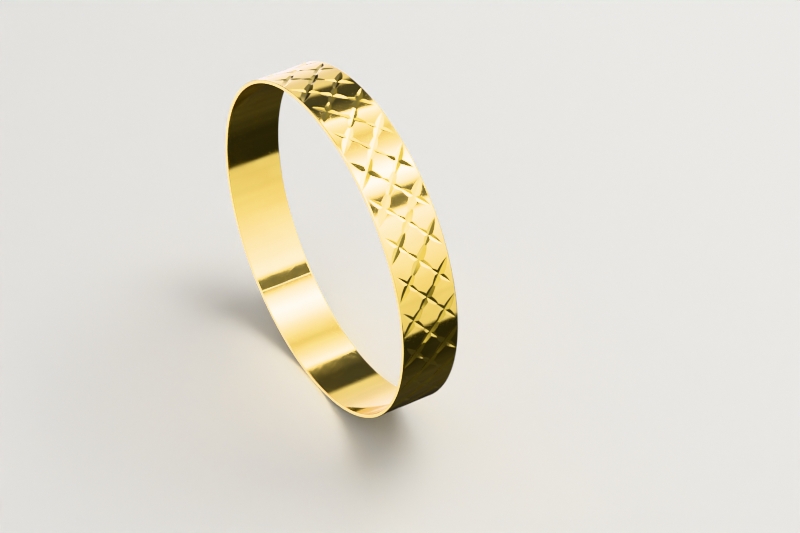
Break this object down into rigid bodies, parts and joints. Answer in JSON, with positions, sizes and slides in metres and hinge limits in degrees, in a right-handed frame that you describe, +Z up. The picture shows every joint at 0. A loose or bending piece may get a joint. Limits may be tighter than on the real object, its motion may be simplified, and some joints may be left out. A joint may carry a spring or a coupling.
{
  "type": "bangle bracelet",
  "caption": "Closed round slip-on bangle: a narrow gold band, smooth inside, with crossed leaf-shaped V cuts all round the outside.",
  "frame": {"origin": "centre of the ring, on its axis and halfway across the band", "axes": "+Y along the ring's axis, +Z up with the ring standing on its edge as on a display bar, +X across it"},
  "size_m": [0.0584, 0.01, 0.0584],
  "materials": {
    "sheet_gold": "mirror polish with bright cut facets",
    "solder_gold": "polished, slightly paler than the sheet"
  },
  "bodies": {
    "root": {"band_strip": "sheet_gold", "solder_seam": "solder_gold"}
  },
  "joints": []
}
